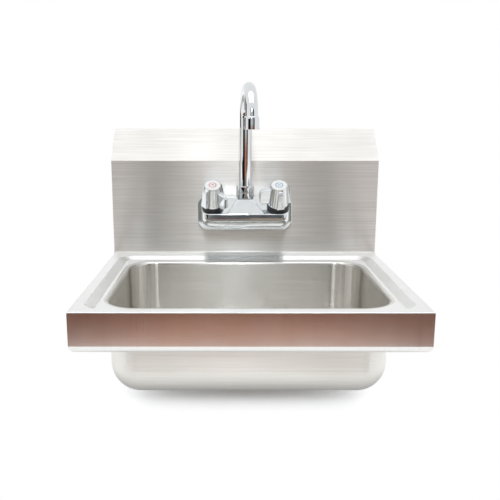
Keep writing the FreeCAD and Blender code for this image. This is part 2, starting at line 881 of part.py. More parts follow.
def handle_bell():
    """The handle's round body, solid."""
    shoulder = handle_foot + handle_foot_height
    return turned([
        (0, handle_foot), (handle_foot_radius, handle_foot), (handle_foot_radius, shoulder),
        (handle_neck_radius, handle_height - index_recess), (handle_neck_radius, handle_height),
        (0, handle_height),
    ])


def handle_fins():
    """Three short ribs and one long wing."""
    rib_levels = [
        (handle_foot + rib_foot_rise, rib_reach_foot, rib_width_foot),
        (handle_height - rib_shoulder_drop, rib_reach_shoulder, rib_width_shoulder),
        (handle_height - rib_crest_drop, rib_reach_crest, rib_width_crest),
    ]
    wing_foot = handle_foot + wing_foot_rise
    wing_crest = handle_height - wing_crest_drop
    wing_levels = [
        (wing_foot, wing_reach - wing_tip_round, wing_width_foot),
        (wing_foot + wing_tip_lift, wing_reach, wing_width_foot),
        (wing_crest - wing_tip_round, wing_reach, wing_width_crest),
        (wing_crest, wing_reach - wing_tip_round, wing_width_crest),
    ]
    fins = [fin(wing_levels)]
    for step in (1, 2, 3):
        rib = fin(rib_levels)
        rib.rotate(Vector(), Vector(0, 0, 1), step * rib_spacing)
        fins.append(rib)
    return fins


def handle(side):
    """Hollow chromed handle with a hub that grips the stem."""
    solid = handle_bell().fuse(handle_fins()).removeSplitter()
    inner_foot = handle_foot_radius - handle_wall
    inner_neck = handle_neck_radius - handle_wall
    hub_foot = stem_top - hub_depth
    hollow = turned([
        (0, handle_foot - touch), (inner_foot, handle_foot - touch),
        (inner_foot, handle_foot + handle_foot_height), (inner_neck, stem_top),
        (hub_radius, stem_top), (hub_radius, hub_foot), (0, hub_foot),
    ])
    socket = ring(0, stem_radius + socket_clearance, hub_foot - touch, stem_top)
    hole = ring(0, screw_radius + screw_clearance, stem_top, index_seat)
    recess = ring(0, index_radius + index_clearance, index_seat, handle_height + overrun)
    return on_valve(solid.cut([hollow, socket, hole, recess]), side, wing_angle[side])


def index_disc(side):
    """Round index plate let into the handle's top."""
    bore = screw_head_radius + screw_clearance
    plate = ring(bore, index_radius, index_seat, index_seat + index_thickness)
    return on_valve(plate, side, wing_angle[side])


def handle_screw(side):
    """Screw that holds the handle on the stem."""
    head_top = index_seat + index_thickness
    return on_valve(turned([
        (0, stem_top - screw_grip), (screw_radius, stem_top - screw_grip), (screw_radius, index_seat),
        (screw_head_radius, index_seat), (screw_head_radius, head_top), (0, head_top),
    ]), side)


def on_spout(shape):
    """Turn a shape on the spout's axis to the rest swing."""
    shape.rotate(Vector(0, spout_y, 0), Vector(0, 0, 1), spout_rest_swing)
    return shape


def at_spout(shape):
    """Carry a shape turned about Z to the spout's axis."""
    return moved(shape, 0, spout_y, 0)


def at_outlet(shape):
    """Carry a shape turned about Z to the spout's outlet."""
    return on_spout(moved(shape, 0, outlet_y, 0))


def spout_bar(radius):
    """The gooseneck as a solid bar of one radius."""
    riser = rod(radius, Vector(0, spout_y, spout_foot_z), Vector(0, spout_y, bend_z))
    top = Part.Face(Part.Wire(Part.makeCircle(radius, Vector(0, spout_y, bend_z))))
    bend = top.revolve(Vector(0, spout_y - spout_bend_radius, bend_z), Vector(1, 0, 0), 180)
    leg = rod(radius, Vector(0, outlet_y, bend_z), Vector(0, outlet_y, outlet_z))
    return riser.fuse([bend, leg]).removeSplitter()


def spout_tube():
    """Bent gooseneck tube."""
    return on_spout(spout_bar(spout_radius).cut(spout_bar(spout_radius - spout_wall)))


def spout_ferrule():
    """Sleeve fixed on the tube's foot, grooved for two seal rings."""
    sleeve = ring(spout_radius, ferrule_radius, spout_foot_z, ferrule_top_z)
    floor = ferrule_radius - seal_ring_section
    for height in seal_ring_heights:
        low = height - seal_groove_width / 2
        sleeve = sleeve.cut(ring(floor, ferrule_radius + overrun, low, low + seal_groove_width))
    return at_spout(sleeve)


def spout_seal_rings():
    """Two seal rings in the sleeve's grooves."""
    radius = ferrule_radius - seal_ring_section / 2
    rings = []
    for height in seal_ring_heights:
        rings.append(Part.makeTorus(radius, seal_ring_section / 2, Vector(0, spout_y, height)))
    return Part.makeCompound(rings)


def spout_slip_ring():
    """Nylon ring between the sleeve and the nut."""
    high = slip_ring_foot_z + slip_ring_thickness
    inner = spout_radius + slip_ring_clearance
    return at_spout(ring(inner, seat_thread_radius, slip_ring_foot_z, high))


def spout_nut():
    """Two-tier nut that holds the spout in the body."""
    foot = spout_nut_foot_z
    top = foot + spout_nut_height
    groove = foot + spout_nut_height * spout_nut_groove_height_share
    waist = spout_nut_radius - spout_nut_groove
    chest = groove + spout_nut_groove_width
    thread = seat_thread_radius + thread_clearance
    ceiling = slip_ring_foot_z + slip_ring_thickness
    bore = spout_radius + ferrule_clearance
    return at_spout(turned([
        (thread, foot), (spout_nut_radius - spout_nut_edge, foot),
        (spout_nut_radius, foot + spout_nut_edge), (spout_nut_radius, groove), (waist, groove),
        (waist, chest), (spout_nut_radius, chest), (spout_nut_radius, top - spout_nut_edge),
        (spout_nut_radius - spout_nut_edge, top), (bore, top), (bore, ceiling), (thread, ceiling),
    ]))


def aerator_housing():
    """Round outlet fitting on the spout's end."""
    top = aerator_foot_z + aerator_length
    socket = spout_radius + aerator_tube_clearance
    edge = aerator_radius - aerator_edge
    return at_outlet(turned([
        (aerator_mouth_radius, aerator_foot_z), (edge, aerator_foot_z),
        (aerator_radius, aerator_foot_z + aerator_edge), (aerator_radius, top - aerator_edge),
        (edge, top), (socket, top), (socket, aerator_screen_z), (aerator_mouth_radius, aerator_screen_z),
    ]))


def aerator_washer():
    """Rubber washer under the tube's end."""
    return at_outlet(ring(spout_radius - aerator_washer_wall, spout_radius, aerator_washer_z, outlet_z))


def aerator_screen():
    """Perforated disc in the outlet."""
    disc = ring(0, spout_radius, aerator_screen_z, aerator_washer_z)
    limit = aerator_mouth_radius - 2 * aerator_mesh_radius
    reach = int(limit / aerator_mesh_pitch)
    steps = [step * aerator_mesh_pitch for step in range(-reach, reach + 1)]
    holes = []
    for x in steps:
        for y in steps:
            if math.hypot(x, y) < limit:
                start = Vector(x, y, aerator_screen_z - overrun)
                holes.append(rod(aerator_mesh_radius, start, start + Vector(0, 0, 2 * overrun)))
    return at_outlet(disc.cut(holes))


parts = {
    "sink_top": sink_top(),
    "sink_bowl": sink_bowl(),
    "splash_panel": splash_panel(),
    "splash_end_left": splash_end(HOT),
    "splash_end_right": splash_end(COLD),
    "wall_bracket": wall_bracket(),
    "rear_rail": rear_rail(),
    "drain_flange": drain_flange(),
    "drain_gasket": drain_gasket(),
    "drain_washer": drain_washer(),
    "drain_locknut": drain_locknut(),
    "strainer_basket": strainer_basket(),
    "tap_body": tap_body(),
    "tap_gasket": tap_gasket(),
    "shank_washers": shank_washers(),
    "shank_locknuts": shank_locknuts(),
    "spout_tube": spout_tube(),
    "spout_ferrule": spout_ferrule(),
    "spout_seal_rings": spout_seal_rings(),
    "spout_slip_ring": spout_slip_ring(),
    "spout_nut": spout_nut(),
    "aerator_housing": aerator_housing(),
    "aerator_washer": aerator_washer(),
    "aerator_screen": aerator_screen(),
}
valve_pieces = {
    "inlet_shank": inlet_shank,
    "seat_seal": seat_seal,
    "cartridge": cartridge,
    "fixed_disc": fixed_disc,
    "moving_disc": moving_disc,
    "stem": valve_stem,
    "collar": collar,
    "handle": handle,
    "index": index_disc,
    "handle_screw": handle_screw,
}
for side, word in ((HOT, "hot"), (COLD, "cold")):
    for piece, make in valve_pieces.items():
        parts[word + "_" + piece] = make(side)

os.makedirs("parts", exist_ok=True)
for name, shape in parts.items():
    shape.exportStep("parts/" + name + ".step")
    print(name, len(shape.Solids), "valid" if shape.isValid() else "NOT VALID", round(shape.Volume, 1))
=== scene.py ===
import math

import bmesh
import bpy
from mathutils import Matrix, Vector


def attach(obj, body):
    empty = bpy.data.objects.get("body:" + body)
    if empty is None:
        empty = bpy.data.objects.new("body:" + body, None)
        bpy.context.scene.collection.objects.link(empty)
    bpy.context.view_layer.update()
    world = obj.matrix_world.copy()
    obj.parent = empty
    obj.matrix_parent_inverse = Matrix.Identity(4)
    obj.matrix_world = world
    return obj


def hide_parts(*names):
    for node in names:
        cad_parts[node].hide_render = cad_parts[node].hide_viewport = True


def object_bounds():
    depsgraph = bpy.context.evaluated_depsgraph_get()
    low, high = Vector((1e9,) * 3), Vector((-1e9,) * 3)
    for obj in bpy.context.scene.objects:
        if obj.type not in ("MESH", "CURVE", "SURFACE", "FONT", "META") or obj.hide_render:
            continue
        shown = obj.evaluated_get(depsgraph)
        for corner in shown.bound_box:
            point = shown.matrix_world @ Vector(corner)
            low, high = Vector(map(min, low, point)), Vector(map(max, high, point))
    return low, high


# Wall-mounted hand sink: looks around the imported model, in metres.
# X runs to the viewer's right, Y runs back into the wall and Z runs up.

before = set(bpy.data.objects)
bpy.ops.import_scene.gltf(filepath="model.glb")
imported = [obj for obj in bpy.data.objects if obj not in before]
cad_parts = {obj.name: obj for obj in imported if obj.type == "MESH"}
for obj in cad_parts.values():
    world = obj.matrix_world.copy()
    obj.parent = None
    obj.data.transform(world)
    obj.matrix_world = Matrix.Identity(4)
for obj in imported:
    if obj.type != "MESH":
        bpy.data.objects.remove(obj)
cad_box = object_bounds()

MM = 0.001

# Tap body, in millimetres
BODY_HALF = 68.5
BODY_FRONT = -112.0
BODY_BACK = -49.5
BODY_FOOT = -98.0
BODY_TOP = -54.0
BODY_CORNER = 15.0
BODY_ROLL = 12.0
# The decks slope from this height at the front up to this depth at the top.
DECK_FRONT = -75.6
DECK_BACK = -77.4
# The boss: depth of its front crest, half its width at crest and foot, height of its keel at the back.
BOSS_FRONT = -101.0
BOSS_CREST = 11.8
BOSS_FOOT = 29.5
BOSS_KEEL = -95.0
FLANGE_HALF = 77.0
FLANGE_LOW = -110.5
FLANGE_HIGH = -53.5
FLANGE_FRONT = -53.5
FLANGE_CORNER = 16.0
FLANGE_EDGE = 1.6

# Valve axes: where each leaves the tilted deck, its tilt, and how far its handle's wing is turned
VALVE_X = 50.8
VALVE_Y = -94.5
VALVE_Z = -64.7
VALVE_TILT = 32.0
WING_TURN = {"hot": -45.0, "cold": 188.0}

# Handle fins, in millimetres: (height, reach, width) from foot to crest
WING_LEVELS = [(9.0, 26.0, 9.5), (13.0, 29.5, 9.5), (30.5, 29.5, 6.8), (34.0, 26.0, 6.8)]
RIB_LEVELS = [(8.2, 20.4, 12.4), (34.4, 17.2, 7.0), (37.6, 13.6, 6.4)]
# How far out a fin's inner edge stands, at its foot and at its crest.
WING_ROOT = (15.2, 12.3)
RIB_ROOT = (15.2, 12.0)

# Index plate with its printed ring, and the screw's cross recess, in millimetres
PLATE_FACE = 41.2
RING_INNER = 4.7
RING_OUTER = 5.9
CROSS_LENGTH = 3.0
CROSS_WIDTH = 0.7
CROSS_FLOOR = 40.2
CROSS_TOP = 42.0

# Spout, in millimetres, swung by an angle in degrees
SPOUT_Y = -86.0
SPOUT_RADIUS = 9.17
SPOUT_WALL = 1.2
SPOUT_FOOT = -74.0
SPOUT_BEND = 68.5
SPOUT_BEND_RADIUS = 44.5
SPOUT_LEG = 7.0
SPOUT_SWING = 4.0

# Mesh fineness
ROUND_STEPS = 96
SMALL_STEPS = 48
BEND_STEPS = 56
CORNER_STEPS = 10
ROLL_STEPS = 9
FLANGE_CORNER_STEPS = 12
FLANGE_EDGE_STEPS = 4
SOFT_STEPS = 3
MERGE = 0.002

# Edges: a softened one's width in millimetres, and the angles in degrees from which an edge counts
SOFT_EDGE = 0.9
CAST_ANGLE = 28.0
FIN_ANGLE = 20.0
CREASE = 32.0


# Modelling helpers

def enter(name):
    """Name the primitive that was just added and open it for editing."""
    piece = bpy.context.object
    piece.name = name
    piece.data.name = name
    bpy.ops.object.mode_set(mode="EDIT")
    bpy.ops.mesh.select_mode(type="VERT")
    return piece


def pick(piece, kind, test):
    """Select the faces or edges that pass a test, and nothing else."""
    bpy.ops.mesh.select_mode(type=kind)
    bpy.ops.mesh.select_all(action="DESELECT")
    mesh = bmesh.from_edit_mesh(piece.data)
    for part in mesh.faces if kind == "FACE" else mesh.edges:
        if test(part):
            part.select_set(True)
    mesh.select_flush_mode()
    bmesh.update_edit_mesh(piece.data)


def lying_at(axis, place):
    """Test for faces or edges lying wholly at one place along an axis, in millimetres."""
    def test(part):
        return all(abs(corner.co[axis] / MM - place) < MERGE for corner in part.verts)
    return test


def extruded(*step):
    """Extrude what is selected by a step in millimetres."""
    bpy.ops.mesh.extrude_region_move(TRANSFORM_OT_translate={"value": [part * MM for part in step]})


def sealed():
    """Merge the open mesh's doubles and point all its faces outwards."""
    bpy.ops.mesh.select_all(action="SELECT")
    bpy.ops.mesh.remove_doubles(threshold=MERGE * MM)
    bpy.ops.mesh.normals_make_consistent(inside=False)


def choose(piece):
    """Make one object the only one selected."""
    bpy.ops.object.select_all(action="DESELECT")
    bpy.context.view_layer.objects.active = piece
    piece.select_set(True)


def settle(piece):
    """Leave edit mode with the piece's place in its mesh."""
    bpy.ops.object.mode_set(mode="OBJECT")
    choose(piece)
    bpy.ops.object.transform_apply(location=True, rotation=True, scale=True)
    return piece


def block(name, low, high):
    """A cube between two corners in millimetres, opened for editing."""
    bpy.ops.object.select_all(action="DESELECT")
    middle = [(a + b) / 2 * MM for a, b in zip(low, high)]
    bpy.ops.mesh.primitive_cube_add(size=MM, location=middle)
    bpy.context.object.scale = [b - a for a, b in zip(low, high)]
    bpy.ops.object.transform_apply(location=True, rotation=True, scale=True)
    return enter(name)


def turned(name, outline, steps=ROUND_STEPS):
    """Spin an outline of (radius, height) points in millimetres about the upright axis."""
    bpy.ops.object.select_all(action="DESELECT")
    radius, height = outline[0]
    bpy.ops.mesh.primitive_plane_add(size=MM, location=(radius * MM, 0, height * MM))
    piece = enter(name)
    bpy.ops.mesh.merge(type="CENTER")
    for (r0, h0), (r1, h1) in zip(outline, outline[1:]):
        extruded(r1 - r0, 0, h1 - h0)
    bpy.ops.mesh.select_all(action="SELECT")
    bpy.ops.mesh.spin(steps=steps, angle=math.tau, center=(0, 0, 0), axis=(0, 0, 1))
    sealed()
    return settle(piece)


def modified(piece, kind, **settings):
    """Add one modifier and apply it."""
    choose(piece)
    modifier = piece.modifiers.new(kind.lower(), kind)
    for name, value in settings.items():
        setattr(modifier, name, value)
    bpy.ops.object.modifier_apply(modifier=modifier.name)
    return piece


def softened(piece, angle):
    """Round off the edges at which two faces turn by more than an angle in degrees."""
    return modified(
        piece, "BEVEL", width=SOFT_EDGE * MM, segments=SOFT_STEPS,
        limit_method="ANGLE", angle_limit=math.radians(angle))


def joined_solid(piece, others, operation="UNION"):
    """Weld other solids into a piece, or cut them out of it, and delete them."""
    for other in others:
        modified(piece, "BOOLEAN", object=other, operation=operation, solver="EXACT")
        bpy.data.objects.remove(other)
    return piece


def copied(piece, name):
    """A copy with its own mesh."""
    choose(piece)
    bpy.ops.object.duplicate()
    copy = bpy.context.object
    copy.name = name
    copy.data.name = name
    return copy


def placed(piece, matrix):
    """Carry a piece modelled about the origin to its place."""
    piece.matrix_world = matrix
    return settle(piece)


def valve_place(side, turn):
    """From a valve's own upright frame to its tilted axis on the tap's left (-1) or right (1)."""
    seat = Vector((side * VALVE_X, VALVE_Y, VALVE_Z)) * MM
    tilt = Matrix.Rotation(math.radians(VALVE_TILT), 4, "X")
    return Matrix.Translation(seat) @ tilt @ Matrix.Rotation(math.radians(turn), 4, "Z")


def spout_place(reach=0.0):
    """From an upright frame to the spout's axis, or to its outlet when given a reach."""
    axis = Matrix.Translation(Vector((0, SPOUT_Y, 0)) * MM)
    swing = Matrix.Rotation(math.radians(SPOUT_SWING), 4, "Z")
    return axis @ swing @ Matrix.Translation(Vector((0, -reach, 0)) * MM)


def dressed(piece, material, slot, body, *replaced):
    """Finish a piece: smooth shading, material, body and the nodes it stands for. The slot argument is
    not used.
    """
    choose(piece)
    bpy.ops.object.shade_smooth_by_angle(angle=math.radians(CREASE))
    # Large faces keep their own direction, so that a mirror finish bends only at the rounded edges.
    modified(piece, "WEIGHTED_NORMAL", mode="FACE_AREA", keep_sharp=True)
    if not piece.data.materials:
        piece.data.materials.append(material)
    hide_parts(*replaced)
    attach(piece, body)


# Materials

# Steel grain, in millimetres: length and pitch of its lines, and the size of its cloudy patches.
# Real scratches are about 0.1 mm apart; these are drawn coarser, to show at the photograph's size.
FINE_LINES = (60.0, 0.45)
BROAD_LINES = (140.0, 2.0)
PATCH_SIZE = 60.0
# How much the patches add to or take from the roughness.
SMUDGE = 0.02
# A face looks to the front or side from this share of its normal on, and turns level between these two.
FACING_SHARE = 0.75
LEVEL_START = 0.92
LEVEL_FULL = 0.98
# Polishing waves on the chrome, in millimetres.
CHROME_WAVE = 12.0
# Noise stays almost wholly between these values, and most of its lines between the closer pair.
NOISE_SPAN = {"From Min": 0.3, "From Max": 0.7}
LINE_SPAN = {"From Min": 0.35, "From Max": 0.65}


def linear(colour):
    """An sRGB hex colour as linear red, green, blue and alpha."""
    shares = [int(colour[place:place + 2], 16) / 255 for place in (1, 3, 5)]
    return [s / 12.92 if s <= 0.04045 else ((s + 0.055) / 1.055) ** 2.4 for s in shares] + [1.0]


def add(tree, kind, inputs=None, **settings):
    """Add one node with its settings, and set or link its inputs."""
    made = tree.nodes.new(kind)
    for name, value in settings.items():
        setattr(made, name, value)
    for socket, value in (inputs or {}).items():
        if isinstance(value, bpy.types.NodeSocket):
            tree.links.new(value, made.inputs[socket])
        else:
            made.inputs[socket].default_value = value
    return made


def opened(name):
    """A new material with an empty node tree."""
    material = bpy.data.materials.new(name)
    material.use_nodes = True
    material.node_tree.nodes.clear()
    return material, material.node_tree


def closed(material, shader):
    """Link a material's shader to its output."""
    add(material.node_tree, "ShaderNodeOutputMaterial", {"Surface": shader.outputs[0]})
    return material


def brushed_stainless(name, dark, light, smooth, rough, duller_top, on_top, on_front, on_side):
    """Belt-brushed stainless sheet, its grain given as a direction for each way that a face can look.

    Hair-fine scratches smear each reflection across the grain and leave faint pale and dark lines along
    it. Level faces are wiped more than the others, and duller_top is added to their roughness.
    """
    material, tree = opened(name)
    place = add(tree, "ShaderNodeTexCoord").outputs["Object"]
    normal = add(tree, "ShaderNodeNewGeometry").outputs["Normal"]
    facing = add(tree, "ShaderNodeSeparateXYZ", {"Vector": normal})
    grain = on_top
    for axis, direction in (("Y", on_front), ("X", on_side)):
        size = add(tree, "ShaderNodeMath", {0: facing.outputs[axis]}, operation="ABSOLUTE")
        looks_there = add(tree, "ShaderNodeMath", {
            0: size.outputs[0], 1: FACING_SHARE}, operation="GREATER_THAN")
        grain = add(tree, "ShaderNodeMix", {
            "Factor": looks_there.outputs[0], 4: grain, 5: direction}, data_type="VECTOR").outputs[1]
    reach = add(tree, "ShaderNodeVectorMath", {0: place, 1: grain}, operation="DOT_PRODUCT")
    along = add(tree, "ShaderNodeVectorMath", {
        0: grain, "Scale": reach.outputs["Value"]}, operation="SCALE")
    across = add(tree, "ShaderNodeVectorMath", {0: place, 1: along.outputs[0]}, operation="SUBTRACT")
    lines = []
    for length, pitch in (FINE_LINES, BROAD_LINES):
        drawn = add(tree, "ShaderNodeVectorMath", {
            0: along.outputs[0], "Scale": 1 / (length * MM)}, operation="SCALE")
        packed = add(tree, "ShaderNodeVectorMath", {
            0: across.outputs[0], 1: (1 / (pitch * MM),) * 3, 2: drawn.outputs[0]},
            operation="MULTIPLY_ADD")
        lines.append(add(tree, "ShaderNodeTexNoise", {
            "Vector": packed.outputs[0], "Scale": 1.0, "Detail": 2.0}).outputs["Fac"])
    fine, broad = lines
    # Handling leaves soft cloudy patches.
    patches = add(tree, "ShaderNodeTexNoise", {
        "Vector": place, "Scale": 1 / (PATCH_SIZE * MM), "Detail": 2.0})
    streaks = add(tree, "ShaderNodeMix", {"Factor": 0.5, 2: fine, 3: broad}, data_type="FLOAT")
    roughness = add(tree, "ShaderNodeMapRange", {
        "Value": streaks.outputs[0], **NOISE_SPAN, "To Min": smooth, "To Max": rough})
    smudged = add(tree, "ShaderNodeMapRange", {
        "Value": patches.outputs["Fac"], **NOISE_SPAN, "To Min": -SMUDGE, "To Max": SMUDGE})
    handled = add(tree, "ShaderNodeMath", {
        0: roughness.outputs[0], 1: smudged.outputs[0]}, operation="ADD")
    level = add(tree, "ShaderNodeMapRange", {
        "Value": facing.outputs["Z"], "From Min": LEVEL_START, "From Max": LEVEL_FULL})
    wiped = add(tree, "ShaderNodeMath", {
        0: level.outputs[0], 1: duller_top, 2: handled.outputs[0]}, operation="MULTIPLY_ADD")
    contrast = add(tree, "ShaderNodeMapRange", {"Value": streaks.outputs[0], **LINE_SPAN})
    tone = add(tree, "ShaderNodeMix", {
        "Factor": contrast.outputs[0], 6: linear(dark), 7: linear(light)}, data_type="RGBA")
    relief = add(tree, "ShaderNodeBump", {"Height": broad, "Strength": 0.05, "Distance": 0.01 * MM})
    tangent = add(tree, "ShaderNodeVectorMath", {0: normal, 1: grain}, operation="CROSS_PRODUCT")
    return closed(material, add(tree, "ShaderNodeBsdfPrincipled", {
        "Base Color": tone.outputs[2], "Metallic": 1.0, "Roughness": wiped.outputs[0],
        "Anisotropic": 1.0, "Tangent": tangent.outputs[0], "Normal": relief.outputs[0]}))


def chrome_plate():
    """Bright chrome over polished brass: mirror reflections, with a trace of polishing waviness."""
    material, tree = opened("chrome_plate")
    place = add(tree, "ShaderNodeTexCoord").outputs["Object"]
    waves = add(tree, "ShaderNodeTexNoise", {
        "Vector": place, "Scale": 1 / (CHROME_WAVE * MM), "Detail": 3.0})
    roughness = add(tree, "ShaderNodeMapRange", {
        "Value": waves.outputs["Fac"], **NOISE_SPAN, "To Min": 0.03, "To Max": 0.07})
    tone = add(tree, "ShaderNodeMix", {
        "Factor": waves.outputs["Fac"], 6: linear("#D3D7D9"), 7: linear("#E0E3E5")}, data_type="RGBA")
    relief = add(tree, "ShaderNodeBump", {
        "Height": waves.outputs["Fac"], "Strength": 0.05, "Distance": 0.05 * MM})
    return closed(material, add(tree, "ShaderNodeBsdfPrincipled", {
        "Base Color": tone.outputs[2], "Metallic": 1.0, "Roughness": roughness.outputs[0],
        "Normal": relief.outputs[0]}))


def grained(name, dark, light, grain_mm, smooth, rough, relief_mm, **constants):
    """A moulded or machined finish: two close tones, a spread of roughness and a fine relief."""
    material, tree = opened(name)
    place = add(tree, "ShaderNodeTexCoord").outputs["Object"]
    grain = add(tree, "ShaderNodeTexNoise", {
        "Vector": place, "Scale": 1 / (grain_mm * MM), "Detail": 3.0})
    tone = add(tree, "ShaderNodeMix", {
        "Factor": grain.outputs["Fac"], 6: linear(dark), 7: linear(light)}, data_type="RGBA")
    roughness = add(tree, "ShaderNodeMapRange", {
        "Value": grain.outputs["Fac"], **NOISE_SPAN, "To Min": smooth, "To Max": rough})
    relief = add(tree, "ShaderNodeBump", {
        "Height": grain.outputs["Fac"], "Strength": 0.3, "Distance": relief_mm * MM})
    return closed(material, add(tree, "ShaderNodeBsdfPrincipled", {
        "Base Color": tone.outputs[2], "Roughness": roughness.outputs[0], "Normal": relief.outputs[0],
        **constants}))


WIDE, DEEP, UPRIGHT = (1, 0, 0), (0, 1, 0), (0, 0, 1)
# Splash and brackets: a level grain that draws reflections out upright.
steel = brushed_stainless(
    "brushed_stainless", "#D5D2CC", "#E9E7E3", smooth=0.33, rough=0.35, duller_top=0.0,
    on_top=WIDE, on_front=WIDE, on_side=DEEP)
# Bowl: drawn and then finished by hand, so brighter than the splash, with fainter lines.
bowl_steel = brushed_stainless(
    "drawn_stainless", "#D8D6D0", "#E2E0DC", smooth=0.23, rough=0.245, duller_top=0.0,
    on_top=WIDE, on_front=WIDE, on_side=DEEP)
# Sink top: satin on the level rim; an upright grain on the apron keeps the floor's edge sharp there.
top_steel = brushed_stainless(
    "satin_stainless", "#DEDEDC", "#E5E5E4", smooth=0.235, rough=0.245, duller_top=0.16,
    on_top=WIDE, on_front=UPRIGHT, on_side=DEEP)
chrome = chrome_plate()
# Moulded ABS: deep black with a soft sheen and a fine spark texture.
black = grained(
    "moulded_black_abs", "#0C0C0D", "#17171A",
    grain_mm=0.8, smooth=0.32, rough=0.48, relief_mm=0.03, IOR=1.54)
# Moulded ABS: warm white, glossy.
white = grained(
    "moulded_white_abs", "#E9E9E6", "#F3F3F1",
    grain_mm=2.5, smooth=0.22, rough=0.32, relief_mm=0.01, IOR=1.54)
# Pad-printed inks on the index plates: flat colour with a slightly broken gloss.
red_ink = grained(
    "printed_red_ink", "#C9413B", "#D95850",
    grain_mm=0.6, smooth=0.35, rough=0.5, relief_mm=0.01, IOR=1.5)
blue_ink = grained(
    "printed_blue_ink", "#2F86C4", "#4698D2",
    grain_mm=0.6, smooth=0.35, rough=0.5, relief_mm=0.01, IOR=1.5)
# Moulded EPDM: dull black with a chalky bloom.
rubber = grained(
    "moulded_epdm", "#131313", "#202020",
    grain_mm=1.2, smooth=0.6, rough=0.8, relief_mm=0.05, IOR=1.52)
# Turned brass: warm yellow, slightly tarnished.
brass = grained(
    "turned_brass", "#B08D4C", "#CBA968",
    grain_mm=3.0, smooth=0.22, rough=0.38, relief_mm=0.01, Metallic=1.0)
# Lapped alumina: cream white with a dull gloss.
ceramic = grained(
    "lapped_alumina", "#DEDBD2", "#EBE9E2",
    grain_mm=1.5, smooth=0.18, rough=0.28, relief_mm=0.01, IOR=1.76)
# Natural nylon: milky, waxy.
nylon = grained(
    "natural_nylon", "#D6D3C8", "#E4E1D8",
    grain_mm=2.0, smooth=0.4, rough=0.55, relief_mm=0.02, IOR=1.53)

slot_finish = {
    "stainless_sheet": steel, "chrome_plate": chrome, "black_plastic": black, "index_white": white,
    "rubber": rubber, "brass": brass, "ceramic_disc": ceramic, "nylon": nylon,
}
own_steel = {"sink_top": top_steel, "sink_bowl": bowl_steel}
for name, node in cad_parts.items():
    for slot in node.material_slots:
        slot.material = own_steel.get(name, slot_finish[slot.material.name])


# Tap body: rolled casting with tilted decks, a central boss and a wall flange

def sliced(*cuts):
    """Cut the open mesh by planes given as a point and an outward normal, closing each cut."""
    for point, normal in cuts:
        bpy.ops.mesh.select_all(action="SELECT")
        bpy.ops.mesh.bisect(
            plane_co=Vector(point) * MM, plane_no=normal, use_fill=True, clear_outer=True)


def decks():
    """The tap's block with round lower corners and a rolled front, cut down to its tilted decks."""
    piece = block(
        "tap_casting", (-BODY_HALF, BODY_FRONT, BODY_FOOT), (BODY_HALF, BODY_BACK, BODY_TOP + BODY_ROLL))
    low = lying_at(2, BODY_FOOT)

    def runs_back(edge):
        return low(edge) and abs(edge.verts[0].co.x - edge.verts[1].co.x) < MERGE * MM

    pick(piece, "EDGE", runs_back)
    bpy.ops.mesh.bevel(offset=BODY_CORNER * MM, segments=CORNER_STEPS, affect="EDGES")
    pick(piece, "EDGE", lying_at(1, BODY_FRONT))
    bpy.ops.mesh.bevel(offset=BODY_ROLL * MM, segments=ROLL_STEPS, affect="EDGES")
    slope = Vector((0, DECK_FRONT - BODY_TOP, DECK_BACK - BODY_FRONT)).normalized()
    sliced(((0, BODY_FRONT, DECK_FRONT), slope), ((0, 0, BODY_TOP), (0, 0, 1)))
    return softened(settle(piece), CAST_ANGLE)


def boss():
    """The raised middle under the spout: a sloped facet with two flanks, cut off below by a keel."""
    rise = BODY_TOP - DECK_FRONT
    facet = Vector((0, -rise, BOSS_FRONT - BODY_FRONT)).normalized()
    flank = Vector((rise, 0, BOSS_FOOT - BOSS_CREST)).normalized()
    keel = Vector((0, BOSS_KEEL - DECK_FRONT, BODY_FRONT - BODY_BACK)).normalized()
    piece = block("boss", (-BODY_HALF, BODY_FRONT, BODY_FOOT), (BODY_HALF, BODY_BACK, BODY_TOP))
    sliced(
        ((0, BODY_FRONT, DECK_FRONT), facet), ((0, BODY_FRONT, DECK_FRONT), keel),
        ((BOSS_FOOT, 0, DECK_FRONT), flank), ((-BOSS_FOOT, 0, DECK_FRONT), (-flank.x, 0, flank.z)),
    )
    return softened(settle(piece), CAST_ANGLE)


def flange():
    """The plate against the splash, with round corners and a softened front edge."""
    piece = block(
        "flange", (-FLANGE_HALF, FLANGE_FRONT, FLANGE_LOW), (FLANGE_HALF, BODY_BACK, FLANGE_HIGH))
    pick(piece, "EDGE", lambda edge: abs(edge.verts[0].co.y - edge.verts[1].co.y) > MM)
    bpy.ops.mesh.bevel(offset=FLANGE_CORNER * MM, segments=FLANGE_CORNER_STEPS, affect="EDGES")
    pick(piece, "EDGE", lying_at(1, FLANGE_FRONT))
    bpy.ops.mesh.bevel(offset=FLANGE_EDGE * MM, segments=FLANGE_EDGE_STEPS, affect="EDGES")
    return settle(piece)


dressed(joined_solid(decks(), [boss(), flange()]), chrome, "chrome_plate", "sink", "tap_body")


# Spout, its nut and its outlet fitting

def gooseneck():
    """A tube raised from a circle, spun over the bend and drawn down to the outlet."""
    bpy.ops.object.select_all(action="DESELECT")
    bpy.ops.mesh.primitive_circle_add(
        vertices=SMALL_STEPS, radius=SPOUT_RADIUS * MM, location=(0, 0, SPOUT_FOOT * MM))
    piece = enter("gooseneck")
    extruded(0, 0, SPOUT_BEND - SPOUT_FOOT)
    bpy.ops.mesh.spin(
        steps=BEND_STEPS, angle=-math.pi, axis=(1, 0, 0),
        center=(0, -SPOUT_BEND_RADIUS * MM, SPOUT_BEND * MM))
    extruded(0, 0, -SPOUT_LEG)
    sealed()
    return modified(settle(piece), "SOLIDIFY", thickness=SPOUT_WALL * MM, offset=-1.0)


dressed(placed(gooseneck(), spout_place()), chrome, "chrome_plate", "spout", "spout_tube")

